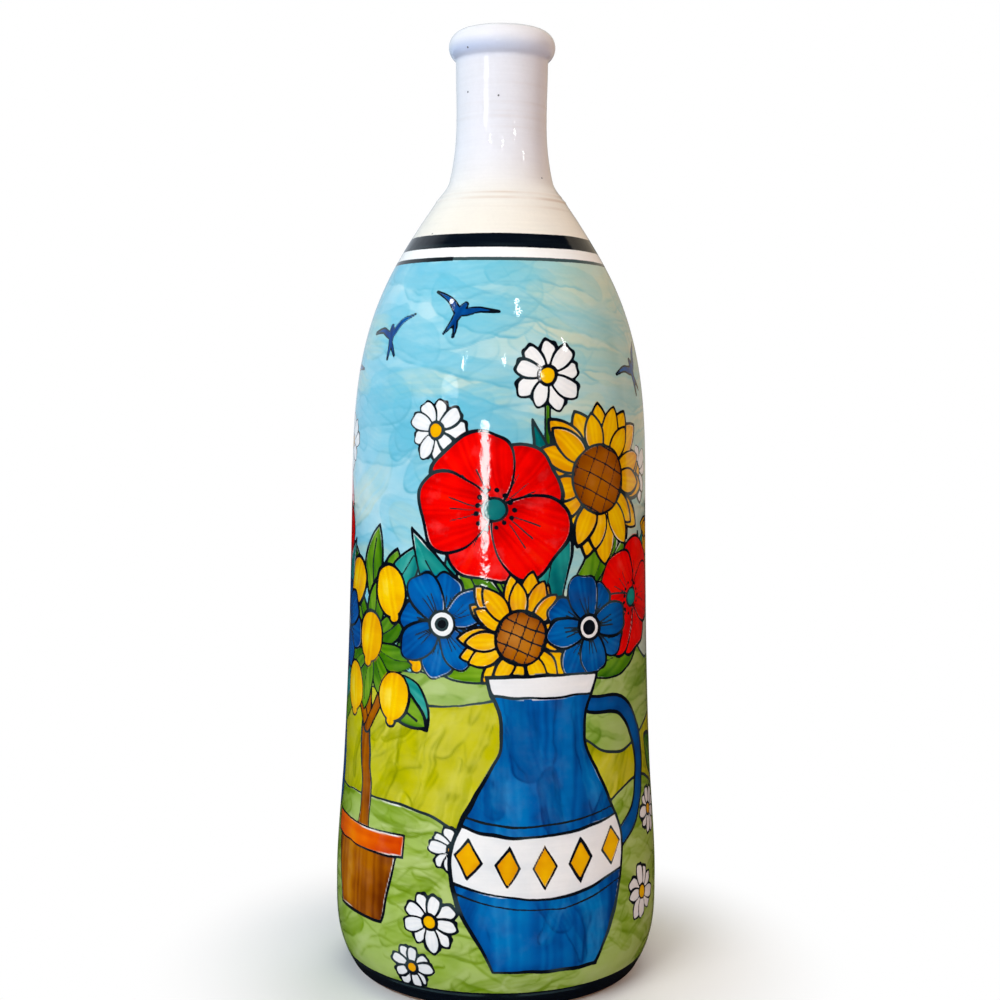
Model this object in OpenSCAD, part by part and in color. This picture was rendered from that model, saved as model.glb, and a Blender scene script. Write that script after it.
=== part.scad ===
// Tall painted bottle vase: thrown clay sections joined with slip, glazed inside and out.
// Millimetres, +Z up, origin at the centre of the face that the foot stands on.

/* [Foot] */
// Outer diameter of the foot at the base
foot_d = 133; // [110:1:144]
// Width of the standing rim of the foot
foot_w = 11; // [7:0.5:20]
// Height of the foot ring
foot_h = 5; // [4:0.5:8]
// Height of the bare rim below the glaze
bare_h = 2; // [1:0.5:3]

/* [Body] */
// Diameter of the belly, the widest place
belly_d = 152; // [130:0.2:170]
// Height of the belly above the base
belly_rise = 41; // [34:1:60]
// Diameter of the hip above the belly
hip_d = 145; // [130:0.2:160]
// Height of the hip above the belly
hip_rise = 59; // [50:1:80]
// Diameter of the waist
waist_d = 137.8; // [120:0.2:150]
// Height of the waist above the hip
waist_rise = 114; // [95:1:150]
// Diameter where the shoulder starts to turn in
shoulder_d = 136.2; // [120:0.2:150]
// Height of the shoulder above the waist
shoulder_rise = 36; // [28:1:60]
// Diameter half way up the slope of the shoulder
slope_d = 99.8; // [84:0.2:114]
// Height of that place above the start of the shoulder
slope_rise = 76; // [60:1:100]
// Diameter of the root of the neck
root_d = 61; // [54:0.2:70]
// Height of the root above the middle of the slope
root_rise = 31; // [24:1:44]

/* [Lean of the wall, in degrees from upright] */
// Outward lean of the wall at the base
foot_lean = 37; // [20:1:45]
// Inward lean at the hip
hip_lean = 3; // [0:0.5:6]
// Inward lean at the waist
waist_lean = 1; // [0:0.5:4]
// Inward lean where the shoulder starts
shoulder_lean = 2.5; // [0:0.5:10]
// Inward lean half way up the slope of the shoulder
slope_lean = 28; // [20:1:36]
// Inward lean at the root of the neck
root_lean = 34.5; // [28:0.5:42]
// Inward lean at the tight curve above the root
throat_lean = 14; // [6:1:22]

/* [Neck and lip] */
// Diameter of the mouth's straight bore
mouth_d = 30; // [22:0.5:34]
// Height of the tight curve above the root of the neck
throat_rise = 10; // [8:0.5:14]
// How far the throat stands out from the narrowest neck
throat_flare = 3.2; // [1.5:0.1:4]
// Height of the narrowest neck above the throat
neck_rise = 29; // [22:1:50]
// Height of the underside of the lip above the narrowest neck
collar_rise = 26.1; // [16:0.1:34]
// How far the neck widens below the lip
collar_flare = 0.4; // [0:0.1:1.2]
// Radius of the rolled lip's outer curve
lip_r = 7.4; // [6:0.1:9]
// Radius of the mouth's inner edge
mouth_edge_r = 2.1; // [1.5:0.1:3.5]

/* [Walls] */
// Thickness of the clay in the body, measured level
wall_t = 7; // [4:0.1:9]
// Thickness of the clay in the neck
neck_wall_t = 5; // [3.5:0.1:7]
// Thickness of the clay floor
floor_t = 8; // [5:0.5:14]
// Radius of the corner between the floor and the wall inside
corner_r = 15; // [5:0.5:25]
// Thickness of each coat of glaze
glaze_t = 0.4; // [0.2:0.05:0.8]

/* [Joints between the clay sections] */
// Height of the joint between the two body sections, above the hip
body_joint_rise = 40; // [30:1:90]
// How far one section laps inside the next
lap_h = 5; // [3:0.5:6]
// Thickness of the slip in each joint
slip_t = 0.6; // [0.3:0.1:1]

/* [Hidden] */
$fn = 128;

clay_colour = [0.80, 0.62, 0.48];
slip_colour = [0.72, 0.52, 0.40];
white_colour = [0.94, 0.93, 0.90];

// Tallest step along the wall's curve, and steps round each quarter of the lip
curve_step = 4;
arc_steps = 10;
// Heights closer together than this are the same height
same = 0.001;

mouth_r = mouth_d / 2;
neck_r = mouth_r + neck_wall_t + 2 * glaze_t;
throat_r = neck_r + throat_flare;
collar_r = neck_r + collar_flare;

belly_z = belly_rise;
hip_z = belly_z + hip_rise;
waist_z = hip_z + waist_rise;
shoulder_z = waist_z + shoulder_rise;
slope_z = shoulder_z + slope_rise;
root_z = slope_z + root_rise;
throat_z = root_z + throat_rise;
neck_z = throat_z + neck_rise;
collar_z = neck_z + collar_rise;

// The outside of the glazed wall: height, radius, and how fast the radius grows with height
stations = [
    [0, foot_d / 2, tan(foot_lean)],
    [belly_z, belly_d / 2, 0],
    [hip_z, hip_d / 2, -tan(hip_lean)],
    [waist_z, waist_d / 2, -tan(waist_lean)],
    [shoulder_z, shoulder_d / 2, -tan(shoulder_lean)],
    [slope_z, slope_d / 2, -tan(slope_lean)],
    [root_z, root_d / 2, -tan(root_lean)],
    [throat_z, throat_r, -tan(throat_lean)],
    [neck_z, neck_r, 0],
    [collar_z, collar_r, 0]
];

// The rolled lip: one curve for the outside and the top, a smaller one for the mouth's edge
lip_c_r = mouth_r + mouth_edge_r;
lip_c_z = collar_z + sqrt(lip_r * lip_r - pow(collar_r - lip_c_r, 2));
lip_top_z = lip_c_z + lip_r;
mouth_edge_z = lip_top_z - mouth_edge_r;

// Where the clay sections meet: the lower face of the slip in each joint
foot_joint_z = foot_h - slip_t;
body_joint_z = hip_z + body_joint_rise;
neck_joint_z = root_z;
lip_joint_z = crease_z(glaze_t) - slip_t;
floor_z = foot_h + floor_t;

// The inner edge of the foot's standing rim
foot_in_r = foot_d / 2 - glaze_t - foot_w;

// Radius between a and b, two neighbouring stations, at height z
function hermite(a, b, z) =
    let (rise = b[0] - a[0], t = (z - a[0]) / rise)
    a[1] * (2 * pow(t, 3) - 3 * pow(t, 2) + 1) + b[1] * (3 * pow(t, 2) - 2 * pow(t, 3))
    + rise * (a[2] * (pow(t, 3) - 2 * pow(t, 2) + t) + b[2] * (pow(t, 3) - pow(t, 2)));

// Outside radius of the glazed wall at height z, straight above the collar
function wall_r(z) =
    let (below = [for (k = [0 : len(stations) - 2]) if (stations[k][0] <= z) k], k = max(below))
    z >= collar_z ? collar_r : hermite(stations[k], stations[k + 1], z);

// How far the rounded corner between floor and wall stands in at height z above a floor
function corner(z, floor) =
    let (up = z - floor)
    up < corner_r ? corner_r - sqrt(corner_r * corner_r - pow(corner_r - up, 2)) : 0;

// Radius of the clay's outer and inner faces, and of the inner glaze's own face
function clay_out(z) = wall_r(z) - glaze_t;
function clay_in(z) = max(mouth_r + glaze_t, clay_out(z) - wall_t - corner(z, floor_z));
function lining(z) =
    max(mouth_r, clay_out(z) - wall_t - glaze_t - corner(z, floor_z + glaze_t));

// Height at which the wall, taken in by d, runs into the lip, taken in as much
function crease_z(d) = lip_c_z - sqrt(pow(lip_r - d, 2) - pow(collar_r - d - lip_c_r, 2));

function sorted(list) =
    len(list) < 2 ? list :
    let (pivot = list[0], rest = [for (k = [1 : len(list) - 1]) list[k]])
    concat(sorted([for (v = rest) if (v < pivot) v]), [pivot],
           sorted([for (v = rest) if (v >= pivot) v]));

// Every height at which a wall gets a corner point, the same for all faces that touch
keys = sorted(concat([for (s = stations) s[0]], [
    bare_h, foot_joint_z, foot_h, floor_z, floor_z + glaze_t, floor_z + glaze_t + corner_r,
    body_joint_z, body_joint_z + slip_t, body_joint_z + lap_h, body_joint_z + lap_h + slip_t,
    neck_joint_z, neck_joint_z + slip_t, neck_joint_z + lap_h, neck_joint_z + lap_h + slip_t,
    lip_joint_z, lip_joint_z + slip_t, lip_joint_z + lap_h, lip_joint_z + lap_h + slip_t,
    mouth_edge_z
]));
heights = concat(
    [for (k = [0 : len(keys) - 2])
        let (steps = ceil((keys[k + 1] - keys[k] - same) / curve_step))
        for (j = [0 : 1 : steps - 1]) keys[k] + (keys[k + 1] - keys[k]) * j / steps],
    [keys[len(keys) - 1]]);

function rising(low, high) = [for (z = heights) if (z > low - same && z < high + same) z];
function falling(low, high) =
    let (up = rising(low, high)) [for (k = [len(up) - 1 : -1 : 0]) up[k]];

// The wall, the lip's outside and top, and the mouth's edge, all taken in by d
function outline(low, d) = concat(
    [for (z = rising(low, collar_z - curve_step)) [wall_r(z) - d, z]],
    [[collar_r - d, crease_z(d)]],
    lip_curve(d));
function lip_curve(d) =
    let (start = asin((crease_z(d) - lip_c_z) / (lip_r - d)))
    concat(
        [for (k = [1 : 2 * arc_steps])
            let (a = start + (90 - start) * k / (2 * arc_steps))
            [lip_c_r + (lip_r - d) * cos(a), lip_c_z + (lip_r - d) * sin(a)]],
        [for (k = [1 : arc_steps])
            let (a = 90 + 90 * k / arc_steps)
            [lip_c_r + (mouth_edge_r - d) * cos(a), mouth_edge_z + (mouth_edge_r - d) * sin(a)]]);

function reversed(list) = [for (k = [len(list) - 1 : -1 : 0]) list[k]];

// The middle of the wall at height z, and how fast it grows over a lapped joint that starts there
function middle(z) = (clay_out(z) + clay_in(z)) / 2;
function lap_growth(z) = (middle(z + lap_h) - middle(z)) / lap_h;

// The two faces of a lapped joint, from the outside in: below the slip and above it
function lap_below(z) = [
    [clay_out(z), z], [middle(z), z],
    [middle(z + lap_h), z + lap_h], [clay_in(z + lap_h), z + lap_h]];
function lap_above(z) =
    let (out = slip_t * (1 + lap_growth(z)))
    [[clay_out(z + slip_t), z + slip_t], [middle(z) + out, z + slip_t],
     [middle(z + lap_h) + out, z + lap_h + slip_t],
     [clay_in(z + lap_h + slip_t), z + lap_h + slip_t]];

module turned(points) {
    rotate_extrude() polygon(points);
}

// A ring of joining slip between two sections
module lap_slip(z) {
    color(slip_colour) turned(concat(lap_below(z), reversed(lap_above(z))));
}

module foot_ring() {
    color(clay_colour) turned(concat(
        [[foot_in_r, 0]],
        [for (z = rising(0, foot_joint_z)) [clay_out(z), z]],
        [[foot_in_r, foot_joint_z]]));
}

module foot_slip() {
    color(slip_colour) turned(concat(
        [[foot_in_r, foot_joint_z]],
        [for (z = rising(foot_joint_z, foot_h)) [clay_out(z), z]],
        [[foot_in_r, foot_h]]));
}

module lower_body() {
    color(clay_colour) turned(concat(
        [[0, foot_h]],
        [for (z = rising(foot_h, body_joint_z - same * 2)) [clay_out(z), z]],
        lap_below(body_joint_z),
        [for (z = falling(floor_z, body_joint_z + lap_h - same * 2)) [clay_in(z), z]],
        [[0, floor_z]]));
}

module body_slip() {
    lap_slip(body_joint_z);
}

module upper_body() {
    color(clay_colour) turned(concat(
        reversed(lap_above(body_joint_z)),
        [for (z = rising(body_joint_z + slip_t + same * 2, neck_joint_z - same * 2)) [clay_out(z), z]],
        lap_below(neck_joint_z),
        [for (z = falling(body_joint_z + lap_h + slip_t + same * 2, neck_joint_z + lap_h - same * 2))
            [clay_in(z), z]]));
}

module neck_slip() {
    lap_slip(neck_joint_z);
}

module neck() {
    color(clay_colour) turned(concat(
        reversed(lap_above(neck_joint_z)),
        [for (z = rising(neck_joint_z + slip_t + same * 2, lip_joint_z - same * 2)) [clay_out(z), z]],
        lap_below(lip_joint_z),
        [for (z = falling(neck_joint_z + lap_h + slip_t + same * 2, lip_joint_z + lap_h - same * 2))
            [clay_in(z), z]]));
}

module lip_slip() {
    lap_slip(lip_joint_z);
}

module lip_ring() {
    color(clay_colour) turned(concat(
        reversed(lap_above(lip_joint_z)),
        lip_curve(glaze_t)));
}

module outer_glaze() {
    color(white_colour) turned(concat(outline(bare_h, 0), reversed(outline(bare_h, glaze_t))));
}

module inner_glaze() {
    color(white_colour) turned(concat(
        [[0, floor_z]],
        [for (z = rising(floor_z, mouth_edge_z)) [clay_in(z), z]],
        [for (z = falling(floor_z + glaze_t, mouth_edge_z)) [lining(z), z]],
        [[0, floor_z + glaze_t]]));
}

foot_ring();
foot_slip();
lower_body();
body_slip();
upper_body();
neck_slip();
neck();
lip_slip();
lip_ring();
outer_glaze();
inner_glaze();
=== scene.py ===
from math import atan2, cos, pi, radians, sin, sqrt, tan
import bpy
import numpy as np
from mathutils import Euler, Matrix, Vector


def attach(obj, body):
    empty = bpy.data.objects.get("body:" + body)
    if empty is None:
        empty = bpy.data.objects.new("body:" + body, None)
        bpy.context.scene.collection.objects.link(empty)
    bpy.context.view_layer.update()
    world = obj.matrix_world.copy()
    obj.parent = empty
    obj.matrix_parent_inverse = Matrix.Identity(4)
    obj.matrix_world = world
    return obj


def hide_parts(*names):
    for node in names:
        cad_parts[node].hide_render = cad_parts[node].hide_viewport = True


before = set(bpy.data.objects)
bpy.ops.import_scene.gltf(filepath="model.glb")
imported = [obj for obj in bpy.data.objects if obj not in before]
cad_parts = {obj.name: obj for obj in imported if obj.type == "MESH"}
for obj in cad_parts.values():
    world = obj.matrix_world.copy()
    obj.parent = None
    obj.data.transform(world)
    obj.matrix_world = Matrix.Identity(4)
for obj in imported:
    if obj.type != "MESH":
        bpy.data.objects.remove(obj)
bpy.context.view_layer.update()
print("frame loaded:", ", ".join(sorted(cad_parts)))

mm = 0.001

# the turned outline in millimetres: stations are height, radius, outward lean in degrees
outline = {
    "stations": [(0, 66.5, 37), (41, 76, 0), (100, 72.5, -3), (214, 68.9, -1), (250, 68.1, -2.5),
                 (326, 49.9, -28), (357, 30.5, -34.5), (367, 24, -14), (396, 20.8, 0), (422.1, 21.2, 0)],
    "mouthRadius": 15,
    "lipRadius": 7.4,
    "mouthEdge": 2.1,
    "crease": 2.0,
    "coat": 0.4,
    "coatDepth": 0.36,
    "samples": 4000,
    # the bead of glaze at the foot and the ridges that the fingers left: height, size, half width
    "ridges": [(2.8, 0.15, 0.7), (360.5, 0.2, 0.7), (358.1, 0.26, 0.8), (410, 0.03, 1.2), (401, 0.03, 1.1),
               (395.6, 0.05, 1.0), (391, 0.03, 1.1), (376, 0.04, 1.5), (350, 0.05, 1.5)],
}
collarHeight, collarRadius = outline["stations"][-1][:2]
lipCentre = outline["mouthRadius"] + outline["mouthEdge"]
lipMiddle = collarHeight + sqrt(outline["lipRadius"] ** 2 - (collarRadius - lipCentre) ** 2)
mouthHeight = lipMiddle + outline["lipRadius"] - outline["mouthEdge"]
# the glaze fills the crease under the lip with a hollow curve
creaseCentre = collarRadius + outline["crease"]
creaseDrop = sqrt((outline["lipRadius"] + outline["crease"]) ** 2 - (creaseCentre - lipCentre) ** 2)
creaseHeight = lipMiddle - creaseDrop
creaseLean = atan2(creaseDrop, creaseCentre - lipCentre)


def wallRadius(height):
    height = np.asarray(height, dtype=float)
    radius = np.full(height.shape, float(collarRadius))
    for low, high in zip(outline["stations"], outline["stations"][1:]):
        here = (height >= low[0]) & (height <= high[0])
        rise = high[0] - low[0]
        t = (height[here] - low[0]) / rise
        lowSlope = tan(radians(low[2]))
        highSlope = tan(radians(high[2]))
        radius[here] = (low[1] * (2 * t ** 3 - 3 * t ** 2 + 1) + high[1] * (3 * t ** 2 - 2 * t ** 3)
                        + rise * (lowSlope * (t ** 3 - 2 * t ** 2 + t) + highSlope * (t ** 3 - t ** 2)))
    return radius


def peak(value, middle, half):
    return np.exp(-((value - middle) / half) ** 2)


def throwingMarks(height):
    marks = np.zeros(np.shape(height))
    for place, size, half in outline["ridges"]:
        marks += size * peak(height, place, half)
    return marks


# length along the wall from the base, against height
wallHeights = np.linspace(0, collarHeight, outline["samples"])
wallSteps = np.hypot(np.diff(wallHeights), np.diff(wallRadius(wallHeights)))
wallLengths = np.concatenate([[0], np.cumsum(wallSteps)])


def lengthAt(height):
    return np.interp(height, wallHeights, wallLengths)


def wallPoints(low, high, spacing, depth=0.0):
    count = max(2, int(round((lengthAt(high) - lengthAt(low)) / spacing)) + 1)
    heights = np.interp(np.linspace(lengthAt(low), lengthAt(high), count), wallLengths, wallHeights)
    return list(zip(wallRadius(heights) + throwingMarks(heights) - depth, heights))


def arcPoints(centre, radius, start, end, spacing):
    count = max(3, int(round(radius * abs(end - start) / spacing)))
    angles = start + (end - start) * np.arange(1, count + 1) / count
    return [(centre[0] + radius * cos(a), centre[1] + radius * sin(a)) for a in angles]


def lipPoints(spacing, depth=0.0):
    hollow = outline["crease"] + depth
    crease = arcPoints((creaseCentre, creaseHeight), hollow, pi, pi - creaseLean, spacing)
    roll = arcPoints((lipCentre, lipMiddle), outline["lipRadius"] - depth, -creaseLean, pi / 2, spacing)
    edge = arcPoints((lipCentre, mouthHeight), outline["mouthEdge"] - depth, pi / 2, pi, spacing)
    return crease + roll + edge


turning = {"mergeGap": 0.002, "sharpAngle": 40}


def turnedPiece(name, points, steps):
    # a ring of vertices is laid along the closed outline and turned round the axis
    bpy.ops.mesh.primitive_circle_add(vertices=len(points), fill_type="NOTHING")
    piece = bpy.context.object
    piece.name = name
    piece.data.name = name
    for vertex, (radius, height) in zip(piece.data.vertices, points):
        vertex.co = (radius * mm, 0, height * mm)
    bpy.ops.object.modifier_add(type="SCREW")
    screw = piece.modifiers[0]
    screw.axis = "Z"
    screw.angle = 2 * pi
    screw.steps = screw.render_steps = steps
    screw.use_merge_vertices = True
    screw.merge_threshold = turning["mergeGap"] * mm
    bpy.ops.object.modifier_apply(modifier=screw.name)
    bpy.ops.object.mode_set(mode="EDIT")
    bpy.ops.mesh.select_all(action="SELECT")
    bpy.ops.mesh.remove_doubles(threshold=turning["mergeGap"] * mm)
    bpy.ops.mesh.delete_loose()
    bpy.ops.mesh.select_all(action="SELECT")
    bpy.ops.mesh.normals_make_consistent(inside=False)
    bpy.ops.object.mode_set(mode="OBJECT")
    bpy.ops.object.shade_smooth_by_angle(angle=radians(turning["sharpAngle"]))
    triangles = sum(len(face.vertices) - 2 for face in piece.data.polygons)
    print(name, "turned,", triangles, "triangles")
    return piece


# the outer coat is turned in lengths from height to height, each a closed shell of glaze
coats = {
    "coat_foot": (2, 68),
    "coat_belly": (68, 136),
    "coat_waist": (136, 204),
    "coat_shoulder": (204, 272),
    "coat_slope": (272, 337),
    "coat_neck": (337, creaseHeight),
}
coatMesh = {"spacing": 0.61, "inside": 11, "steps": 720}
neckMesh = {"spacing": 0.7, "inside": 11, "steps": 360}


def makeCoat(name, low, high):
    onNeck = high == creaseHeight
    size = neckMesh if onNeck else coatMesh
    outer = wallPoints(low, high, size["spacing"])
    inner = wallPoints(low, high, size["inside"], outline["coatDepth"])
    if onNeck:
        outer += lipPoints(size["spacing"])
        inner += lipPoints(2 * size["spacing"], outline["coatDepth"])
    return turnedPiece(name, outer + inner[::-1], size["steps"])


# colours of the painting as they are seen: plain, pooled deep and thinned light
palette = {
    "glaze": ((0.96, 0.955, 0.945), (0.86, 0.88, 0.89), (0.98, 0.975, 0.965)),
    "sky": ((0.65, 0.83, 0.86), (0.4, 0.73, 0.82), (0.8, 0.83, 0.72)),
    "meadow": ((0.64, 0.74, 0.36), (0.41, 0.55, 0.05), (0.76, 0.82, 0.55)),
    "field": ((0.75, 0.73, 0.1), (0.54, 0.57, 0.0), (0.83, 0.81, 0.34)),
    "ridge": ((0.63, 0.73, 0.38), (0.4, 0.56, 0.14), (0.74, 0.81, 0.56)),
    "leaf": ((0.36, 0.56, 0.1), (0.12, 0.34, 0.03), (0.6, 0.73, 0.22)),
    "teal": ((0.12, 0.56, 0.52), (0.02, 0.36, 0.38), (0.4, 0.73, 0.68)),
    "red": ((0.97, 0.03, 0.02), (0.74, 0.0, 0.01), (0.98, 0.25, 0.14)),
    "orange": ((0.95, 0.44, 0.04), (0.8, 0.23, 0.01), (0.98, 0.66, 0.22)),
    "yellow": ((0.97, 0.75, 0.02), (0.86, 0.53, 0.0), (0.99, 0.88, 0.32)),
    "blue": ((0.01, 0.36, 0.65), (0.0, 0.2, 0.45), (0.16, 0.53, 0.77)),
    "brown": ((0.66, 0.36, 0.04), (0.4, 0.16, 0.01), (0.84, 0.56, 0.14)),
    "ink": ((0.05, 0.07, 0.1), (0.03, 0.04, 0.06), (0.16, 0.19, 0.23)),
}


def ease(low, high, value):
    t = np.clip((value - low) / (high - low), 0, 1)
    return t * t * (3 - 2 * t)


def mixed(first, second, share):
    first = np.asarray(first)
    return first + (np.asarray(second) - first) * np.asarray(share)[:, None]


def linearColour(colour):
    # from values as they are seen to amounts of light
    colour = np.asarray(colour)
    return np.where(colour <= 0.04045, colour / 12.92, ((colour + 0.055) / 1.055) ** 2.4)


# flat shapes as distances in millimetres, below 0 inside
tiny, far = 1e-9, 1e3


def fold(value, pitch):
    # distance to the nearest of even lines
    return np.abs((value + pitch / 2) % pitch - pitch / 2)


def ellipse(x, y, wide, tall):
    near = np.hypot(x / wide, y / tall)
    return near * (near - 1) / (np.hypot(x / wide ** 2, y / tall ** 2) + tiny)


def almond(x, y, halfWide, halfTall):
    x = np.abs(x)
    y = np.abs(y)
    radius = (halfWide ** 2 + halfTall ** 2) / (2 * halfWide)
    back = radius - halfWide
    side = np.hypot(x + back, y) - radius
    return np.where((y - halfTall) * back > x * halfTall, np.hypot(x, y - halfTall), side)


def curveThrough(points, steps=8):
    points = [np.array(point, dtype=float) for point in points]
    points = [2 * points[0] - points[1]] + points + [2 * points[-1] - points[-2]]
    curve = []
    for a, b, c, d in zip(points, points[1:], points[2:], points[3:]):
        for t in np.linspace(0, 1, steps, endpoint=False):
            bend = (2 * a - 5 * b + 4 * c - d) * t ** 2 + (3 * b - a - 3 * c + d) * t ** 3
            curve.append(b + 0.5 * ((c - a) * t + bend))
    return curve + [points[-2]]


def brushLine(x, y, path):
    # path points are x, y, half width
    gap = np.full(x.shape, far)
    for a, b in zip(path, path[1:]):
        dx = b[0] - a[0]
        dy = b[1] - a[1]
        t = np.clip(((x - a[0]) * dx + (y - a[1]) * dy) / (dx * dx + dy * dy + tiny), 0, 1)
        gap = np.minimum(gap, np.hypot(x - a[0] - t * dx, y - a[1] - t * dy) - a[2] - (b[2] - a[2]) * t)
    return gap


def vessel(x, y, profile, steepest=3):
    # alike on both sides: profile points are height, half width
    path = np.array(curveThrough(profile, 10))
    half = np.interp(y, path[:, 0], path[:, 1])
    slope = np.interp(y, path[:, 0], np.gradient(path[:, 1], path[:, 0]))
    side = (np.abs(x) - half) / np.sqrt(1 + np.clip(slope, -steepest, steepest) ** 2)
    return np.maximum(side, np.maximum(path[0, 0] - y, y - path[-1, 0]))


# how loosely it is painted, in millimetres and shares
hand = {"sway": 1.5, "tremble": 0.4, "pressure": 0.45, "miss": 1.25, "pool": 0.55, "poolWidth": 2.3,
        "mottle": 0.55, "hairs": 0.32, "thinned": 0.9, "softEdge": 0.3, "overLine": 0.8, "noLine": 8.0}
brushHairs = {"count": 97, "pitch": 1.5, "seed": 31}
roundRadius = 70  # a usual radius, for pattern sizes round the vase


class Canvas:
    def __init__(self, mesh):
        flat = np.empty(len(mesh.vertices) * 3)
        mesh.vertices.foreach_get("co", flat)
        spot = flat.reshape(-1, 3) / mm
        self.mesh = mesh
        self.order = np.argsort(lengthAt(spot[:, 2]))  # by height, so a motif looks only in its reach
        spot = spot[self.order]
        self.turn = np.arctan2(spot[:, 0], -spot[:, 1])  # 0 faces the camera and grows to the right
        self.radius = np.hypot(spot[:, 0], spot[:, 1])
        self.height = spot[:, 2]
        self.up = lengthAt(self.height)
        self.paint = np.tile(palette["glaze"][0], (len(spot), 1))
        self.everywhere = np.arange(len(spot))
        self.ink = np.full(len(spot), hand["noLine"])  # millimetres to the edge of the nearest dark line
        self.grey = np.zeros(len(spot))  # how thin the dark colour is there
        self.swayAcross, self.swayUp = (hand["sway"] * self.patches(27, 27, seed)
                                        + hand["tremble"] * self.patches(7, 7, seed + 1) for seed in (1, 3))
        self.pressure = 1 + hand["pressure"] * self.patches(19, 19, 5)
        self.miss = hand["miss"] * self.patches(15, 15, 6)
        self.mottle = (0.6 * self.patches(21, 17, 7) + 0.4 * self.patches(9, 7, 8)
                       + 0.25 * self.patches(4, 3, 9))
        self.thin = 0.5 * ease(0.1, 0.8, self.patches(13, 13, 63))  # where the dark colour ran short
        # edges of broad strokes
        self.ragged = 1.3 * self.patches(9, 9, 61) + 0.7 * self.patches(3.5, 3.5, 62)

    def patches(self, wide, tall, seed):
        # soft random patches from -1 to 1, sizes in millimetres, joined round the vase
        columns = int(round(2 * pi * roundRadius / wide))
        rows = int(wallLengths[-1] / tall) + 3
        grid = np.random.default_rng(seed).uniform(-1, 1, (rows, columns))
        x = self.turn / (2 * pi) % 1 * columns
        y = self.up / tall
        left = x.astype(int) % columns
        right = (left + 1) % columns
        low = y.astype(int)
        acrossShare = ease(0, 1, x - np.floor(x))
        lower, upper = (grid[row, left] + (grid[row, right] - grid[row, left]) * acrossShare
                        for row in (low, low + 1))
        return lower + (upper - lower) * ease(0, 1, y - low)

    def hairs(self, across):
        # streaks of the brush's hairs, from -1 to 1
        rows = np.random.default_rng(brushHairs["seed"]).uniform(-1, 1, brushHairs["count"])
        return np.interp(across / brushHairs["pitch"], np.arange(len(rows)), rows, period=len(rows))

    def near(self, turn, height, reach):
        middle = lengthAt(height)
        first, last = np.searchsorted(self.up, [middle - reach, middle + reach])
        across = (self.turn[first:last] - radians(turn) + pi) % (2 * pi) - pi
        across = across * self.radius[first:last]
        inReach = np.flatnonzero(np.abs(across) < reach)
        pick = inReach + first
        return pick, across[inReach] + self.swayAcross[pick], self.up[pick] - middle + self.swayUp[pick]

    def turned(self, turn, height, reach, angle):
        # the second axis runs along the angle, in degrees to the right of upward
        pick, across, up = self.near(turn, height, reach)
        angle = radians(angle)
        return (pick, across * cos(angle) - up * sin(angle),
                across * sin(angle) + up * cos(angle))

    def lay(self, pick, gap, tone, line, deepen=0.0, grain=None, loose=1.0, grey=0.0):
        # fills where gap is below 0, a little off the line, and draws the line in dark colour
        main, deep, light = palette[tone]
        inside = gap < 0
        fill = gap + loose * self.miss[pick]
        pool = hand["pool"] * np.exp(np.minimum(fill, 0) / hand["poolWidth"])
        tide = pool + hand["mottle"] * self.mottle[pick] + deepen
        if grain is not None:
            tide = tide + hand["hairs"] * self.hairs(grain)
        colour = mixed(main, deep, np.clip(tide, 0, 1))
        colour = mixed(colour, light, hand["thinned"] * np.clip(-tide, 0, 1))
        covered = ease(hand["softEdge"], -hand["softEdge"], fill) * (gap < hand["overLine"])
        self.paint[pick[inside]] = palette["glaze"][0]
        self.tint(pick, colour, covered)
        drawn = np.abs(gap) - line * self.pressure[pick]
        self.mark(pick, drawn, inside | (drawn < self.ink[pick]), grey + self.thin[pick])

    def draw(self, pick, gap, line, grey=0.0):
        drawn = gap - line * self.pressure[pick]
        self.mark(pick, drawn, drawn < self.ink[pick], grey)

    def mark(self, pick, drawn, closer, grey):
        self.ink[pick] = np.where(closer, drawn, self.ink[pick])
        self.grey[pick] = np.where(closer, grey, self.grey[pick])

    def tint(self, pick, colour, share):
        self.paint[pick] = mixed(self.paint[pick], colour, share)

    def cover(self, colour, share):
        self.tint(self.everywhere, colour, share)

    def store(self):
        colour = np.ones((len(self.turn), 4))
        colour[self.order, :3] = linearColour(np.clip(self.paint, 0, 1))
        self.mesh.attributes.new("paint", "FLOAT_COLOR", "POINT").data.foreach_set("color", colour.ravel())
        for name, values in (("ink", self.ink), ("grey", self.grey)):
            inPlace = np.empty(len(values))
            inPlace[self.order] = values
            self.mesh.attributes.new(name, "FLOAT", "POINT").data.foreach_set("value", inPlace)


# broad strokes of thin colour: how many, sizes in millimetres, slants in degrees, strength, share of deep
# ones, bend and how much the hairs show; the hills add what the ground lacks
washes = {
    "sky": {"count": 230, "low": 110, "high": 326, "length": (30, 110), "width": (9, 22), "slant": (-20, 20),
            "strength": (0.2, 0.65), "deep": 0.66, "curl": 0.008, "hairs": 0.6, "seed": 11},
    "ground": {"count": 520, "low": 2, "length": (12, 46), "width": (3, 10),
               "strength": (0.2, 0.75), "deep": 0.5, "curl": 0.016, "hairs": 0.85, "seed": 23},
    "jug": {"count": 30, "low": 18, "high": 158, "length": (26, 75), "width": (6, 15), "slant": (60, 120),
            "strength": (0.15, 0.6), "deep": 0.5, "curl": 0.008, "hairs": 0.75, "seed": 71},
}
# each stroke dries out along its length and leaves a tide line of deeper colour inside its edge
brush = {"hairPitch": 0.9, "ragged": 0.7, "driesFrom": 0.35, "driesApart": 0.5, "driesBy": 1.05,
         "dried": 0.85, "tideInside": 0.6, "tideHalf": 0.8, "tideDried": 0.6, "tideTone": 0.93}


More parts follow.
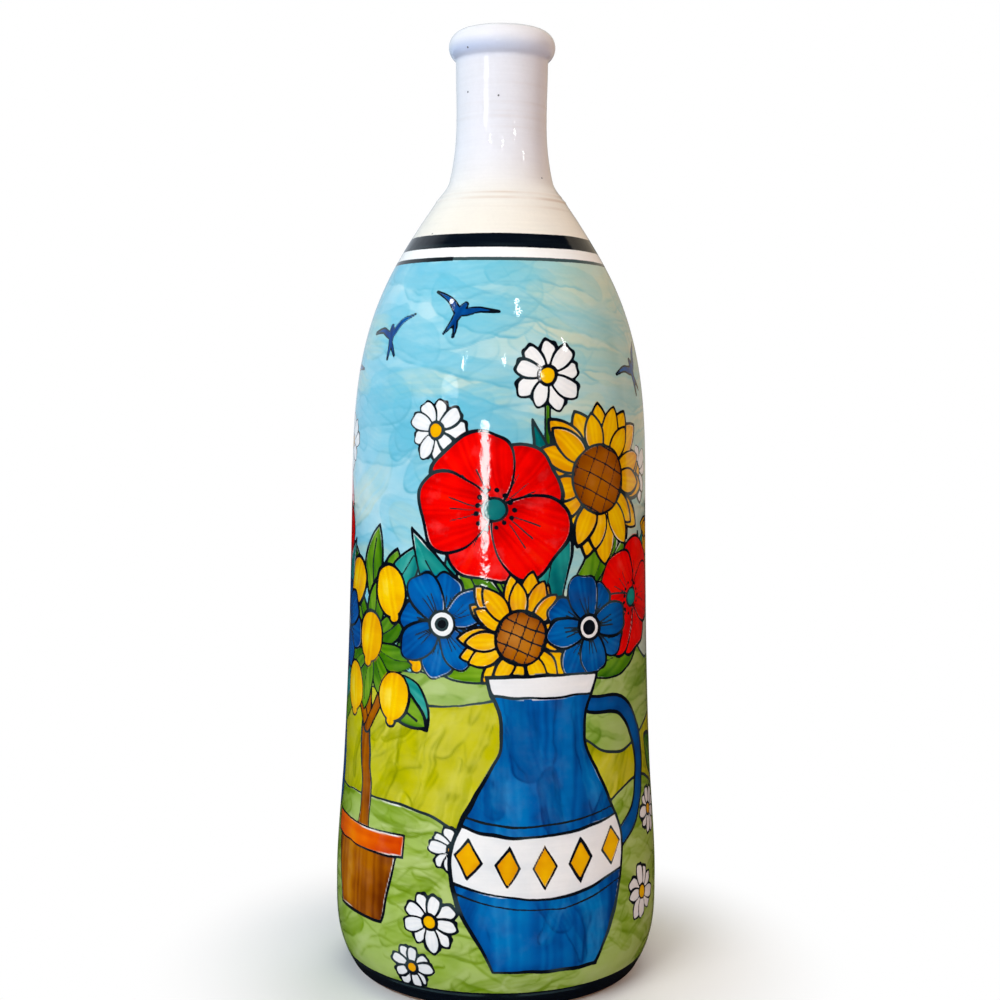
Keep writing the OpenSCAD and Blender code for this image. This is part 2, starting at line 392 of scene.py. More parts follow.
def washOver(vase, region, tone, size, middle=0, half=180):
    random = np.random.default_rng(size["seed"])
    deep, light = palette[tone][1:]
    for _ in range(size["count"]):
        turn = middle + random.uniform(-half, half)
        height = random.uniform(size["low"], size["high"])
        length = random.uniform(*size["length"])
        thick = random.uniform(*size["width"]) / 2
        way = random.choice([-1, 1])  # towards the left or the right
        slant = random.uniform(*size["slant"]) + 90 - 90 * way
        strength = random.uniform(*size["strength"])
        curl = random.uniform(-size["curl"], size["curl"])
        colour = deep if random.random() < size["deep"] else light
        hairs, drier = random.random((2, int(2 * thick / brush["hairPitch"])))
        pick, across, along = vase.turned(turn, height, 0.55 * length + 2 * thick, 90 + slant)
        across = across + curl * along ** 2 + brush["ragged"] * vase.ragged[pick]
        past = np.maximum(np.abs(along) - length / 2 + thick, 0)
        inside = thick - np.hypot(across, past)  # millimetres inside the stroke's edge
        body = ease(-0.4, 0.7, inside) * region[pick]
        places = np.linspace(-thick, thick, len(hairs))
        wet = np.interp(across, places, hairs)
        dryFrom = brush["driesFrom"] + brush["driesApart"] * np.interp(across, places, drier)
        spent = ease(dryFrom, brush["driesBy"], along / length + 0.5)
        vase.tint(pick, colour, strength * (1 - size["hairs"] * wet) * (1 - brush["dried"] * spent) * body)
        lower = 0.25 + 0.75 * ease(-0.2, 0.5, way * across / thick)  # colour runs down to the lower edge
        tide = peak(inside, brush["tideInside"], brush["tideHalf"]) * (1 - brush["tideDried"] * spent)
        pooled = (0.25 + strength) * lower * tide * ease(-0.6, 0.4, vase.mottle[pick])
        vase.tint(pick, brush["tideTone"] * np.array(deep), pooled * body)


# the ground: crests round the vase as waves of size, count round and start, and the slants of its strokes
hills = {
    "ridge": {"height": 164, "waves": [(11, 3, 0.4), (5, 7, 2.0)], "line": 0.55, "grey": 0.5,
              "slant": (-35, 25)},
    "field": {"height": 128, "waves": [(12, 2, 2.6), (5, 5, 0.7)], "line": 0.6, "grey": 0.3,
              "slant": (-85, -35)},
    "meadow": {"height": 84, "waves": [(10, 3, 4.4), (4, 5, 3.3)], "line": 0.6, "grey": 0.25,
               "slant": (-40, 30)},
}


def crestGap(vase, hill):
    crest = np.full(len(vase.turn), float(hill["height"]))
    slope = np.zeros(len(vase.turn))
    for size, around, start in hill["waves"]:
        crest += size * np.sin(around * vase.turn + start)
        slope += size * around * np.cos(around * vase.turn + start) / roundRadius
    return (vase.height + vase.swayUp - crest) / np.sqrt(1 + slope ** 2)


# plain rings, put on while the vase turned: middle height, half width, thinness of the colour
rings = {
    "wide": {"height": 337.0, "half": 3.2, "grey": 0.0},
    "thin": {"height": 328.6, "half": 0.75, "grey": 0.85},
    "foot": {"height": 5.8, "half": 4.3, "grey": 0.0},
}
goneOver = {"from": -165, "to": -25, "half": 0.95, "grey": 0.1}  # where the thin ring was drawn again
footGlint = {"above": 2.8, "half": 0.4, "share": 0.75}  # a painted highlight: a pale line in the foot's black ring that stands for a glint in its glaze
# the sky is deepest and palest at these degrees to the right of the front, and fuller at the top
sky = {"deepest": -75, "palest": 62, "full": (0.24, 0.68, 0.86), "fuller": 0.3, "thinner": 0.7,
       "topShare": 0.35, "topReach": 14, "palerShare": 1.1}


def towards(vase, degrees):
    return np.clip(np.cos(vase.turn - radians(degrees)), 0, 1)


def paintGround(vase):
    top = rings["thin"]["height"]
    main, _, light = palette["sky"]
    field = ease(0.2, -0.6, vase.height - top)
    patchy = np.clip(0.7 + 0.6 * vase.mottle, 0, 1)
    vase.cover(main, field * np.clip(0.82 + 0.18 * vase.mottle, 0, 1))
    fuller = sky["fuller"] * towards(vase, sky["deepest"])
    fuller = fuller + sky["topShare"] * ease(top - sky["topReach"], top, vase.height)
    vase.cover(sky["full"], field * fuller * patchy)
    thinner = sky["thinner"] * towards(vase, sky["palest"])
    vase.cover(light, field * thinner * patchy)
    washOver(vase, field, "sky", washes["sky"])
    vase.cover(light, sky["palerShare"] * field * thinner ** 3)
    ground = washes["ground"]
    for k, (name, hill) in enumerate(hills.items()):
        gap = crestGap(vase, hill)
        vase.lay(vase.everywhere, gap, name, hill["line"], -0.1, grey=hill["grey"])
        strokes = dict(ground, high=hill["height"] + 8, slant=hill["slant"], seed=ground["seed"] + k)
        washOver(vase, ease(0.4, -0.4, gap), name, strokes)


def paintRings(vase):
    streaks = vase.patches(80, 0.8, 41) + 0.6 * vase.patches(24, 1.1, 42)
    degrees = np.degrees(vase.turn)
    again = vase.everywhere[(degrees > goneOver["from"]) & (degrees < goneOver["to"])]
    for name, ring in rings.items():
        across = vase.height + 0.1 * vase.swayUp - ring["height"]
        thinned = 0.03
        if name == "wide":
            thinned = 0.2 * ease(-0.2, 1.0, streaks) * ease(1.6, -2.6, across)
        elif name == "foot":
            # painted highlight: a pale line thins the foot's ring just above its middle
            glintShare = footGlint["share"] * ease(-0.5, 0.3, vase.mottle)
            thinned = glintShare * peak(across, footGlint["above"], footGlint["half"])
        vase.draw(vase.everywhere, np.abs(across) - ring["half"], 0.0, ring["grey"] + thinned)
        if name == "thin":
            vase.draw(again, np.abs(across[again]) - goneOver["half"], 0.0, goneOver["grey"])


# half widths of drawn lines in millimetres; other numbers in a motif are shares of its size
fine, usual, bold = 0.42, 0.62, 0.7


def leaf(vase, turn, height, angle, length, width, tone, bend):
    pick, u, v = vase.turned(turn, height, length * 1.2, angle)
    u = u + bend * (v - length / 2) ** 2 / length
    side = 0.2 * np.sign(u)
    vase.lay(pick, almond(u, v - length / 2, width / 2, length / 2), tone, usual, side, u + 0.3 * v)
    vase.draw(pick, np.maximum(np.abs(u), np.abs(v - 0.45 * length) - 0.38 * length), 0.4, 0.15)


def lemon(vase, turn, height, angle, length, tone):
    pick, u, v = vase.turned(turn, height, length, angle)
    body = ellipse(u, v, 0.37 * length, 0.46 * length)
    gap = np.minimum(body, ellipse(u, v - 0.46 * length, 0.12 * length, 0.1 * length))
    shine = peak(u, 0.12 * length, 0.1 * length) * peak(v, 0, 0.22 * length)
    vase.lay(pick, gap, tone, 0.68, -0.8 * shine, u, 0.6)


def stem(vase, points, tone="leaf", line=0.6):
    # points are turn, height, half width
    middle = points[len(points) // 2]
    reach = 14 + 1.4 * max(max(abs(p[1] - middle[1]), abs(p[0] - middle[0])) for p in points)
    pick, x, y = vase.near(middle[0], middle[1], reach)
    path = [(radians(turn - middle[0]) * float(wallRadius(height)),
             float(lengthAt(height) - lengthAt(middle[1])), half) for turn, height, half in points]
    vase.lay(pick, brushLine(x, y, curveThrough(path)), tone, line, 0.0, x, 0.4)


def petals(vase, turn, height, count, size, tone, start, wide, inner, pointed=False):
    line = fine + 0.007 * size
    large = size > 18
    for k in list(range(0, count, 2)) + list(range(1, count, 2)):
        angle = start + 360 * k / count + 5 * sin(3.1 * k + start)
        reach = size * (1 + 0.07 * sin(2.3 * k + start))
        pick, u, v = vase.turned(turn, height, size * 1.25, angle)
        middle = (1 + inner) * reach / 2
        half = (1 - inner) * reach / 2
        if pointed:
            gap = almond(u, v - middle, wide * reach / 2, half)
        else:
            swell = 1 + 0.32 * np.clip((v - middle) / half, -1, 1)
            frill = 0.025 * size * np.sin(u * 9 / (wide * reach) + k) * ease(0, half, v - middle)
            gap = ellipse(u / swell, v - middle, wide * reach / 2, half) + frill
        fan = u * 1.6 * size / (np.abs(v) + 0.45 * size)
        deepen = 0.4 * ease(0.5, 0.1, v / reach)
        vase.lay(pick, gap, tone, line, deepen, fan, 0.7 if large else 0.2)
        if large and not pointed:
            for side in (-0.3, 0.06, 0.36):
                bent = np.abs(u - side * wide * (v - 0.1 * reach))
                vase.draw(pick, np.maximum(bent, np.abs(v - 0.42 * reach) - 0.16 * reach), 0.3, 0.25)


def heart(vase, turn, height, size, tone, dots=0, dotSize=0.0):
    pick, u, v = vase.near(turn, height, size * 3)
    vase.lay(pick, np.hypot(u, v) - size, tone, usual, loose=0.1)
    for k in range(dots):
        angle = 2 * pi * k / dots
        away = size * (1.6 + 0.2 * sin(5 * k))
        vase.draw(pick, np.hypot(u - away * cos(angle), v - away * sin(angle)), dotSize)


def poppy(vase, turn, height, size, start):
    petals(vase, turn, height, 5, size, "red", start, 1.05, 0.02)
    heart(vase, turn, height, 0.16 * size, "teal", 13, 0.034 * size)


def anemone(vase, turn, height, size, start):
    petals(vase, turn, height, 8, size, "blue", start, 0.64, 0.05)
    heart(vase, turn, height, 0.25 * size, "glaze")
    heart(vase, turn, height, 0.11 * size, "ink")


def sunflower(vase, turn, height, size, start):
    petals(vase, turn, height, 15, size, "yellow", start, 0.34, 0.3, True)
    petals(vase, turn, height, 13, 0.9 * size, "yellow", start + 11, 0.34, 0.3, True)
    pick, u, v = vase.turned(turn, height, size, 24)
    gap = np.hypot(u, v) - 0.42 * size
    vase.lay(pick, gap, "brown", bold, -0.35 * ease(0, -0.3 * size, gap), None, 0.4)
    pitch = 0.19 * size
    net = np.minimum(fold(u, pitch), fold(v, pitch))
    vase.draw(pick, np.maximum(net, gap + 1.0), 0.36, 0.1)


def daisy(vase, turn, height, size, start):
    petals(vase, turn, height, 9, size, "glaze", start, 0.5, 0.1)
    heart(vase, turn, height, 0.26 * size, "yellow")


def cypress(vase, turn, height, tall, wide):
    pick, u, v = vase.near(turn, height, tall * 1.2)
    profile = [(0, 0.04), (0.08, 0.34), (0.35, 0.5), (0.75, 0.25), (1, 0.03)]
    gap = vessel(u, v, [(tall * up, wide * half) for up, half in profile])
    vase.lay(pick, gap, "teal", 0.55, 0.25 * np.sign(u), u + 0.4 * v, 0.5, 0.15)


# the swallow's brush strokes as x, y, half width
swallowShape = {
    "wings": [(-0.5, 0.16, 0.012), (-0.24, 0.12, 0.04), (0, 0, 0.06), (0.24, 0.14, 0.04), (0.5, 0.2, 0.012)],
    "body": [(0.02, 0.14, 0.035), (0, 0, 0.06), (-0.03, -0.16, 0.04), (-0.09, -0.38, 0.012)],
    "tail": [(-0.02, -0.12, 0.035), (0.03, -0.24, 0.025), (0.07, -0.37, 0.012)],
}


def swallow(vase, turn, height, span, angle):
    pick, u, v = vase.turned(turn, height, span, angle)
    paths = [[span * point for point in curveThrough(path)] for path in swallowShape.values()]
    gap = np.minimum.reduce([brushLine(u, v, path) for path in paths])
    vase.lay(pick, gap, "blue", fine, 0.2, u, 0.2)


# the painted jug: heights and half widths, its belt, and the handle as x, y, half width
jug = {
    "outline": [(0, 21), (6, 24), (26, 34), (48, 36), (68, 26), (84, 17), (96, 17), (106, 21), (112, 23)],
    "belt": (29, 52),
    "stripe": 4,
    "rim": 103.5,
    "mouth": 110,
    "reach": 130,
    "washHalf": 34,  # degrees
    "sag": 0.004,  # belts curve with the jug's roundness
    "handle": [(33, 44, 3.6), (48, 56, 3.6), (50, 78, 3.4), (38, 97, 3.2), (20, 100, 3)],
    "diamonds": (15.0, 4.8, 7.6),  # pitch, half width, half height
}


def flowerJug(vase, turn, height, scale):
    pick, u, v = vase.near(turn, height, jug["reach"] * scale)
    u = u / scale
    v = v / scale
    gap = vessel(u, v, jug["outline"]) * scale
    shade = 0.3 * ease(4, 30, u) - 0.9 * peak(u, -15, 6) * (0.4 + 0.6 * np.sin(v / 9) ** 2)
    vase.lay(pick, brushLine(u, v, curveThrough(jug["handle"])) * scale, "blue", bold, 0.1, None, 0.4)
    vase.lay(pick, gap, "blue", 0.8, shade, u)
    region = np.zeros(len(vase.turn))
    region[pick] = ease(0.3, -0.3, gap + vase.miss[pick])
    washOver(vase, region, "blue", washes["jug"], turn, jug["washHalf"])
    sag = jug["sag"] * u ** 2
    low, high = jug["belt"]
    belt = np.maximum(low + sag - v, v - sag - high)
    vase.lay(pick, np.maximum(gap + 0.3, belt * scale), "glaze", usual)
    pitch, half, tall = jug["diamonds"]
    lozenge = fold(u, pitch) / half + np.abs(v - sag - (low + high) / 2) / tall - 1
    vase.lay(pick, np.maximum(lozenge * 4 * scale, gap + 1.5), "yellow", 0.5, loose=0.4)
    for level in (low - jug["stripe"], high + jug["stripe"]):
        vase.draw(pick, np.maximum(np.abs(v - sag - level) * scale, gap), fine, 0.1)
    vase.lay(pick, np.maximum(gap + 0.3, (jug["rim"] - v + 0.5 * sag) * scale), "glaze", usual)


# leaves and flowers in the jug from back to front: degrees aside, height above the rim, size, turn
bouquets = {
    "leaves": [(-72, 62, "leaf"), (-46, 84, "teal"), (-22, 96, "leaf"), (3, 112, "teal"), (26, 100, "leaf"),
               (50, 86, "teal"), (74, 62, "leaf"), (-34, 70, "leaf"), (38, 72, "leaf")],
    "flowers": [(daisy, -40, 108, 13, 10), (daisy, 2, 132, 16, 0), (daisy, 49, 88, 13, 5),
                (poppy, 42, 32, 26, 20), (anemone, -38, 24, 23, 10), (sunflower, 23, 86, 35, 4),
                (poppy, -19, 74, 33, 50), (sunflower, -9, 19, 28, 9), (anemone, 18, 22, 22, 30)],
    "leafWidth": 18,
}


def bouquet(vase, turn, height, side):
    for flower, aside, above, *_ in bouquets["flowers"]:
        if flower is daisy:
            middle = (turn + 0.45 * side * aside, height + 0.55 * above, 1.3)
            end = (turn + side * aside, height + above, 1.1)
            stem(vase, [(turn, height, 1.5), middle, end], "leaf", fine)
    for angle, length, tone in bouquets["leaves"]:
        root = turn + 0.12 * side * angle
        bend = 0.4 * side * np.sign(angle)
        leaf(vase, root, height, side * angle, length, bouquets["leafWidth"], tone, bend)
    for flower, aside, above, size, start in bouquets["flowers"]:
        flower(vase, turn + side * aside, height + above, size, start)


# a tree: its pot as height and half width, wood as degrees aside, height and half width, fruit as angle
# round the crown, distance and lean
tree = {
    "pot": [(0, 17), (4, 18.5), (30, 25), (38, 26)],
    "collar": (31, 41, 29),
    "trunk": [(0, 34, 5), (2, 58, 3.8), (-1, 88, 3.6), (0, 122, 3)],
    "branch": [(0, 84, 2.6), (9, 103, 2.2), (21, 122, 1.4)],
    "crown": 122,
    "fruit": [(-75, 31, 170), (-28, 30, 200), (28, 29, 165), (82, 32, 190), (140, 27, 185), (215, 26, 175),
              (0, 4, 190)],
    "fruitLength": 25,
    "potReach": 80,
}


def fruitTree(vase, turn, height, scale, fruit):
    crown = height + tree["crown"] * scale

    def around(angle, away):
        angle = radians(angle)
        across = away * scale * sin(angle)
        return turn + np.degrees(across / roundRadius), crown + away * scale * cos(angle)

    for part, side, line in (("trunk", 1, bold), ("branch", -1, usual), ("branch", 1, usual)):
        stem(vase, [(turn + side * aside, height + up * scale, half * scale)
                    for aside, up, half in tree[part]], "brown", line)
    for k in range(15):
        angle = -140 + 20 * k
        tone = "teal" if k % 4 == 1 else "leaf"
        length = (35 + 5 * sin(2.2 * k)) * scale
        lean = angle + 14 * sin(4 * k)
        leaf(vase, *around(angle, 17), lean, length, 13.5 * scale, tone, 0.35 * (-1) ** k)
    for k in range(8):
        leaf(vase, *around(45 * k + 12, 3), 45 * k + 12, 27 * scale, 12 * scale, "leaf", 0.3)
    for angle, away, lean in tree["fruit"]:
        lemon(vase, *around(angle, away), lean, tree["fruitLength"] * scale, fruit)
    pick, u, v = vase.near(turn, height, tree["potReach"] * scale)
    shade = 0.35 * ease(2, 20, u) - 0.5 * peak(u, -9, 5)
    vase.lay(pick, vessel(u / scale, v / scale, tree["pot"]) * scale, "brown", bold, shade, u)
    low, high, half = (size * scale for size in tree["collar"])
    collar = np.maximum(np.abs(u) - half, np.maximum(low - v, v - high))
    vase.lay(pick, collar, "orange", bold, shade, v)


# where the motifs stand: degrees to the right, height, sizes
motifs = {
    "cypresses": [(-18, 158, 46, 13), (-27, 156, 36, 11), (66, 166, 42, 12), (76, 170, 32, 11),
                  (130, 156, 44, 13), (-156, 160, 42, 13), (-148, 162, 32, 11)],
    "trees": [(-55, 36, 1.0, "yellow"), (172, 34, 1.05, "orange")],
    "jugs": [(17, 20, 1.15, 1), (-120, 24, 1.05, -1)],
    "daisies": [(-22, 40, 13), (-14, 74, 11), (62, 44, 13), (72, 78, 11), (90, 30, 12), (-86, 26, 12),
                (142, 34, 13), (-160, 26, 12), (108, 66, 12), (-30, 18, 10)],
    "swallows": [(-17, 305, 29, 20), (-50, 296, 28, -14), (66, 282, 30, -30), (98, 250, 28, 12),
                 (138, 286, 30, -18), (-84, 280, 28, 20)],
    "sunflowers": [(96, 200, 32, 6), (126, 146, 27, 2)],
}


def paintMotifs(vase):
    for place in motifs["cypresses"]:
        cypress(vase, *place)
    for turn, height, size in motifs["daisies"]:
        daisy(vase, turn, height, size, turn)
    for turn, height, size, start in motifs["sunflowers"]:
        stem(vase, [(turn - 3, 40, 2.4), (turn + 3, 0.5 * height + 20, 2.1), (turn, height, 1.8)])
        for side in (-1, 1):
            leaf(vase, turn, 0.5 * height + 8 * side, 62 * side, 38, 18, "leaf", 0.4 * side)
        sunflower(vase, turn, height, size, start)
    for place in motifs["swallows"]:
        swallow(vase, *place)
    for place in motifs["trees"]:
        fruitTree(vase, *place)
    for turn, height, scale, side in motifs["jugs"]:
        bouquet(vase, turn, height + jug["mouth"] * scale, side)
        flowerJug(vase, turn, height, scale)


# the glaze is thick and cool on the neck and thinner and creamier on the slope below; painted shade tints
# the lip's underside blue, most towards the left;
# on the ridges and the throwing lines clay-brown lines are partly clay through the glaze and partly painted
# shade of the ridges, strongest from the front round to the right: height, half width, share
neckGlaze = {
    "thick": (0.91, 0.905, 0.92), "thin": (0.93, 0.905, 0.86), "from": 346, "to": 384,
    "lipShadeBlue": (0.74, 0.8, 0.92), "under": 425.0, "lipShadeHalf": 3.2, "lipShadeShare": 0.7,
    "clay": (0.7, 0.56, 0.45), "appears": (-35, 15), "fades": (170, 110), "least": 0.25,
    "lines": [(359.6, 0.45, 0.55), (357.1, 0.55, 0.75), (400.5, 0.5, 0.14), (396.5, 0.45, 0.1),
              (394.2, 0.5, 0.18), (389.5, 0.45, 0.1), (409, 0.5, 0.08), (353, 0.6, 0.16)],
}


def paintNeck(vase):
    size = neckGlaze
    vase.cover(size["thin"], np.ones(len(vase.turn)))
    vase.cover(size["thick"], ease(size["from"], size["to"], vase.height))
    # painted shade: a blue tint under the lip, strongest towards the left
    under = peak(vase.height, size["under"], size["lipShadeHalf"])
    lipShade = size["lipShadeShare"] * (0.5 + 0.5 * np.cos(vase.turn - radians(sky["deepest"])))
    vase.cover(size["lipShadeBlue"], lipShade * under)
    # clay-brown lines on the ridges: partly clay under the glaze, partly painted shade of the ridges,
    # strongest from the front round to the right
    patchy = 0.55 + 0.45 * vase.patches(30, 4, 51)
    degrees = np.degrees(vase.turn)
    ridgeShadeSide = ease(*size["appears"], degrees) * ease(*size["fades"], degrees)
    ridgeShadeSide = size["least"] + (1 - size["least"]) * ridgeShadeSide
    for height, half, share in size["lines"]:
        line = peak(vase.height, height, half)
        vase.cover(size["clay"], share * patchy * ridgeShadeSide * line)


def decorate(piece):
    vase = Canvas(piece.data)
    if "neck" in piece.name:
        paintNeck(vase)
    else:
        paintGround(vase)
        paintMotifs(vase)
    paintRings(vase)
    vase.store()
    print(piece.name, "painted")


# shader maths: a wire wraps a socket, so that values can be added and multiplied
class Wire:
    def __init__(self, finish, socket):
        self.finish = finish
        self.socket = socket

    def math(self, operation, first, second):
        return self.finish.node("ShaderNodeMath", {0: first, 1: second}, operation=operation)

    def __add__(self, other):
        return self.math("ADD", self, other)

    def __radd__(self, other):
        return self.math("ADD", other, self)

    def __sub__(self, other):
        return self.math("SUBTRACT", self, other)

    def __rsub__(self, other):
        return self.math("SUBTRACT", other, self)

    def __mul__(self, other):
        return self.math("MULTIPLY", self, other)

    def __rmul__(self, other):
        return self.math("MULTIPLY", other, self)


class Finish:
    def __init__(self, name, block=None):
        self.block = block or bpy.data.materials.new(name)
        self.block.use_nodes = True
        self.tree = self.block.node_tree
        self.shader = self.tree.nodes.get("Principled BSDF")

    def node(self, kind, sockets=None, out=0, **settings):
        node = self.tree.nodes.new(kind)
        for key, value in settings.items():
            setattr(node, key, value)
        self.fill(node, sockets or {})
        return Wire(self, node.outputs[out])

    def fill(self, node, sockets):
        for key, value in sockets.items():
            if isinstance(value, Wire):
                self.tree.links.new(value.socket, node.inputs[key])
            else:
                node.inputs[key].default_value = value

    def spot(self):
        return self.node("ShaderNodeTexCoord", out="Object")

    def vector(self, operation, first, second=(0, 0, 0), out=0):
        return self.node("ShaderNodeVectorMath", {0: first, 1: second}, out, operation=operation)

    def stored(self, name, out="Fac"):
        return self.node("ShaderNodeAttribute", out=out, attribute_name=name)

    def noise(self, size, detail=3.0, rough=0.55, stretch=(1, 1, 1)):
        spot = self.node("ShaderNodeMapping", {"Vector": self.spot(), "Scale": stretch})
        sockets = {"Vector": spot, "Scale": size, "Detail": detail, "Roughness": rough}
        return self.node("ShaderNodeTexNoise", sockets)

    def blend(self, share, first, second):
        return self.node("ShaderNodeMix", {0: share, 6: first, 7: second}, 2, data_type="RGBA")

    def ramp(self, value, low, high, start=0.0, end=1.0):
        sockets = {"Value": value, "From Min": low, "From Max": high, "To Min": start, "To Max": end}
        return self.node("ShaderNodeMapRange", sockets, interpolation_type="SMOOTHSTEP")

    def dressed(self, colour, rough, relief, strength, depth):
        sockets = {"Strength": strength, "Distance": depth * mm, "Height": relief}
        bumps = self.node("ShaderNodeBump", sockets)
        self.fill(self.shader, {"Base Color": colour, "Roughness": rough, "Normal": bumps})
        return self.block


def rgb(colour):
    return (*[float(part) for part in linearColour(colour)], 1.0)


glaze = {
    "ink": (0.02, 0.045, 0.085),
    "thinInk": (0.25, 0.33, 0.34),
    "edge": 0.12,  # softness of a dark line's edge in millimetres
    "streaks": (38, 38, 950),  # fine marks that run round the vase
    "cloud": 95,
    "grain": 700,
    "relief": {"wide": 42, "middle": 150, "fine": 420, "strength": 0.35, "depth": 0.5},
    # dark pin holes: turn, height, radius in millimetres
    "specks": [(-40.8, 424.8, 0.55), (-47.2, 405.8, 0.5), (-4, 403.2, 0.5), (50.8, 367.5, 0.45),
               (-120, 398, 0.5), (150, 380, 0.45), (108, 415, 0.4), (-48, 340.9, 0.45)],
    "speck": (0.22, 0.2, 0.22),
    "speckShare": 0.9,
}


def pinHole(finish, colour, spot, turn, height, size):
    radius = float(wallRadius(height))
    if height > creaseHeight:
        radius = lipCentre + sqrt(outline["lipRadius"] ** 2 - (height - lipMiddle) ** 2)
    turn = radians(turn)
    centre = (radius * mm * sin(turn), -radius * mm * cos(turn), height * mm)
    away = finish.vector("DISTANCE", spot, centre, "Value")
    share = finish.ramp(away, 0.5 * size * mm, 1.2 * size * mm, glaze["speckShare"], 0)
    return finish.blend(share, colour, rgb(glaze["speck"]))


def paintedGlaze():
    finish = Finish("painted_glaze")
    streaks = finish.noise(1.0, 4.0, stretch=glaze["streaks"])
    cloud = finish.noise(glaze["cloud"], 4.0)
    grain = finish.noise(glaze["grain"], 2.0)
    value = 0.9 + 0.08 * streaks + 0.06 * cloud + 0.05 * grain
    sockets = {"Saturation": 0.93 + 0.16 * cloud, "Value": value, "Color": finish.stored("paint", "Color")}
    colour = finish.node("ShaderNodeHueSaturation", sockets)
    mask = finish.ramp(finish.stored("ink") + (grain - 0.5) * 0.25, -glaze["edge"], glaze["edge"], 1, 0)
    worn = finish.ramp(streaks * 0.7 + cloud * 0.4, 0.45, 0.8)
    dark = finish.blend(finish.stored("grey") + worn * 0.05, rgb(glaze["ink"]), rgb(glaze["thinInk"]))
    colour = finish.blend(mask, colour, dark)
    spot = finish.spot()
    for speck in glaze["specks"]:
        colour = pinHole(finish, colour, spot, *speck)
    size = glaze["relief"]
    relief = finish.noise(size["wide"], 2.0) + 0.6 * finish.noise(size["middle"], 1.0)
    relief = relief + 0.26 * finish.noise(size["fine"], 2.0) + 0.03 * mask
    return finish.dressed(colour, 0.03 + 0.05 * cloud, relief, size["strength"], size["depth"])


lining = {"wall": 7.8, "floor": 13.4, "corner": 15, "rows": 130, "steps": 96,
          "pale": (0.92, 0.91, 0.88), "deep": (0.83, 0.82, 0.78)}


def liningGlaze():
    finish = Finish("lining_glaze")
    cloud = finish.noise(60, 4.0)
    throwing = finish.noise(1.0, 3.0, stretch=(12, 12, 420))
    share = finish.ramp(cloud * 0.6 + throwing * 0.4, 0.3, 0.75)
    colour = finish.blend(share, rgb(lining["pale"]), rgb(lining["deep"]))
    return finish.dressed(colour, 0.1 + 0.12 * cloud, throwing + cloud * 0.5, 0.3, 0.4)


# pale and deep tones of the clay and the slip, and their grit
clayTones = {"clay": ((0.76, 0.63, 0.52), (0.62, 0.49, 0.39)),
             "slip": ((0.7, 0.53, 0.41), (0.58, 0.42, 0.31)),
             "grit": (0.34, 0.22, 0.15)}


def clayFinish(name, pale, deep):
    finish = Finish(name)
    cloud = finish.noise(55, 5.0, 0.65)
    grit = finish.noise(900, 3.0, 0.7)
    marks = finish.noise(1.0, 3.0, stretch=(30, 30, 700))
    away = finish.vector("LENGTH", finish.vector("MULTIPLY", finish.spot(), (1, 1, 0)), out="Value")
    grooves = finish.node("ShaderNodeTexNoise", {"W": away * 420, "Detail": 4.0}, noise_dimensions="1D")
    share = finish.ramp(cloud * 0.5 + marks * 0.2 + grooves * 0.3, 0.33, 0.67)
    colour = finish.blend(share, rgb(pale), rgb(deep))
    colour = finish.blend(finish.ramp(grit, 0.62, 0.72, 0, 0.55), colour, rgb(clayTones["grit"]))
    return finish.dressed(colour, 0.78 + 0.15 * grit, grit * 0.5 + marks + grooves * 1.5, 0.7, 0.3)


def liningPoints():
    heights = np.linspace(lining["floor"], mouthHeight, lining["rows"])
    short = np.clip(lining["corner"] - (heights - lining["floor"]), 0, None)
    corner = lining["corner"] - np.sqrt(lining["corner"] ** 2 - short ** 2)
    face = np.maximum(outline["mouthRadius"], wallRadius(heights) - lining["wall"] - corner)
    under = lining["floor"] - outline["coatDepth"]
    back = list(zip(face + outline["coatDepth"], heights))
    back[0] = (face[0], under)
    return [(0, lining["floor"])] + list(zip(face, heights)) + back[::-1] + [(0, under)]


footRim = {"width": 11, "top": 4.4, "ease": 1.3, "steps": 192}


def easedCorner(before, corner, after, count=6):
    t = np.linspace(0, 1, count)
    across, up = ((1 - t) ** 2 * a + 2 * t * (1 - t) * b + t * t * c
                  for a, b, c in zip(before, corner, after))
    return list(zip(across, up))


def footPoints():
    # the standing ring, its edges eased with a sponge
    outer = float(wallRadius(0)) - outline["coat"]
    inner = outer - footRim["width"]
    soft = footRim["ease"]
    wall = [(float(wallRadius(h)) - outline["coat"], h) for h in np.linspace(soft, footRim["top"], 4)]
    return ([(inner, footRim["top"])] + easedCorner((inner, soft), (inner, 0), (inner + soft, 0))
            + easedCorner((outer - soft, 0), (outer, 0), wall[0]) + wall[1:])


def dress(piece, node, material):
    piece.data.materials.append(material)
    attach(piece, "root")
    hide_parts(node)


clay = clayFinish("bare_clay", *clayTones["clay"])
slip = clayFinish("joining_slip", *clayTones["slip"])
coatGlaze = paintedGlaze()
for coatName, coatReach in coats.items():
    coat = makeCoat(coatName, *coatReach)
    decorate(coat)
    dress(coat, "outer_glaze", coatGlaze)
dress(turnedPiece("lining", liningPoints(), lining["steps"]), "inner_glaze", liningGlaze())
dress(turnedPiece("foot_rim", footPoints(), footRim["steps"]), "foot_ring", clay)

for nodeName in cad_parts:
    cadPiece = bpy.data.objects.get(nodeName)
    if cadPiece is not None:
        for place in cadPiece.material_slots:
            place.material = slip if nodeName.endswith("_slip") else clay
print("finishes set")

# the camera stands as in the photograph, in millimetres and degrees
camera = {"away": 705.3, "height": 275.6, "pitch": 4.54, "roll": 0.44, "pan": 0.05, "lens": 54, "sensor": 36}
bpy.ops.object.camera_add(location=(0, -camera["away"] * mm, camera["height"] * mm))
eye = bpy.context.object
eye.data.lens = camera["lens"]
eye.data.sensor_width = camera["sensor"]
aim = Euler((radians(90 - camera["pitch"]), 0, radians(-camera["pan"]))).to_matrix()
eye.rotation_euler = (aim @ Matrix.Rotation(radians(camera["roll"]), 3, "Z")).to_euler()
bpy.context.scene.camera = eye

